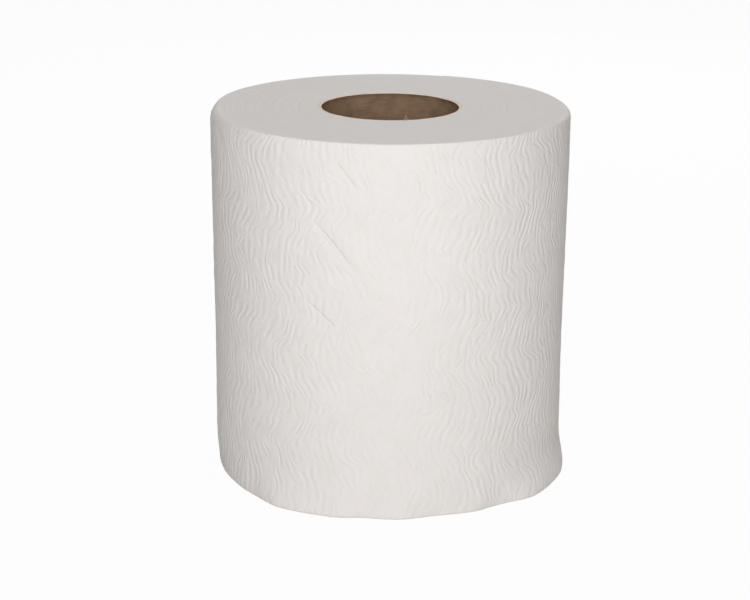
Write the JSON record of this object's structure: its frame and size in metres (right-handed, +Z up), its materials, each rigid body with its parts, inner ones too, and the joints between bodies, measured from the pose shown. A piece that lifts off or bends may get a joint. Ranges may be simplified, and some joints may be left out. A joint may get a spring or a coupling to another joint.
{
  "type": "paper towel roll",
  "caption": "Roll of wave-embossed white paper towel wound on a cardboard core, standing on its end, with its free end at the back.",
  "frame": {"origin": "centre of the lower end of the core's bore, on the surface that the roll stands on", "axes": "+Z up along the core; -Y towards the picture's camera; the web's free end lies at the back, towards +Y and a little +X"},
  "size_m": [0.1965, 0.1942, 0.2],
  "materials": {
    "embossed_paper": "matt absorbent tissue, embossed with flowing wavy lines",
    "core_board": "unbleached brown board, spiral wound"
  },
  "bodies": {
    "root": {"paper_roll": "embossed_paper", "cardboard_core": "core_board"}
  },
  "joints": []
}
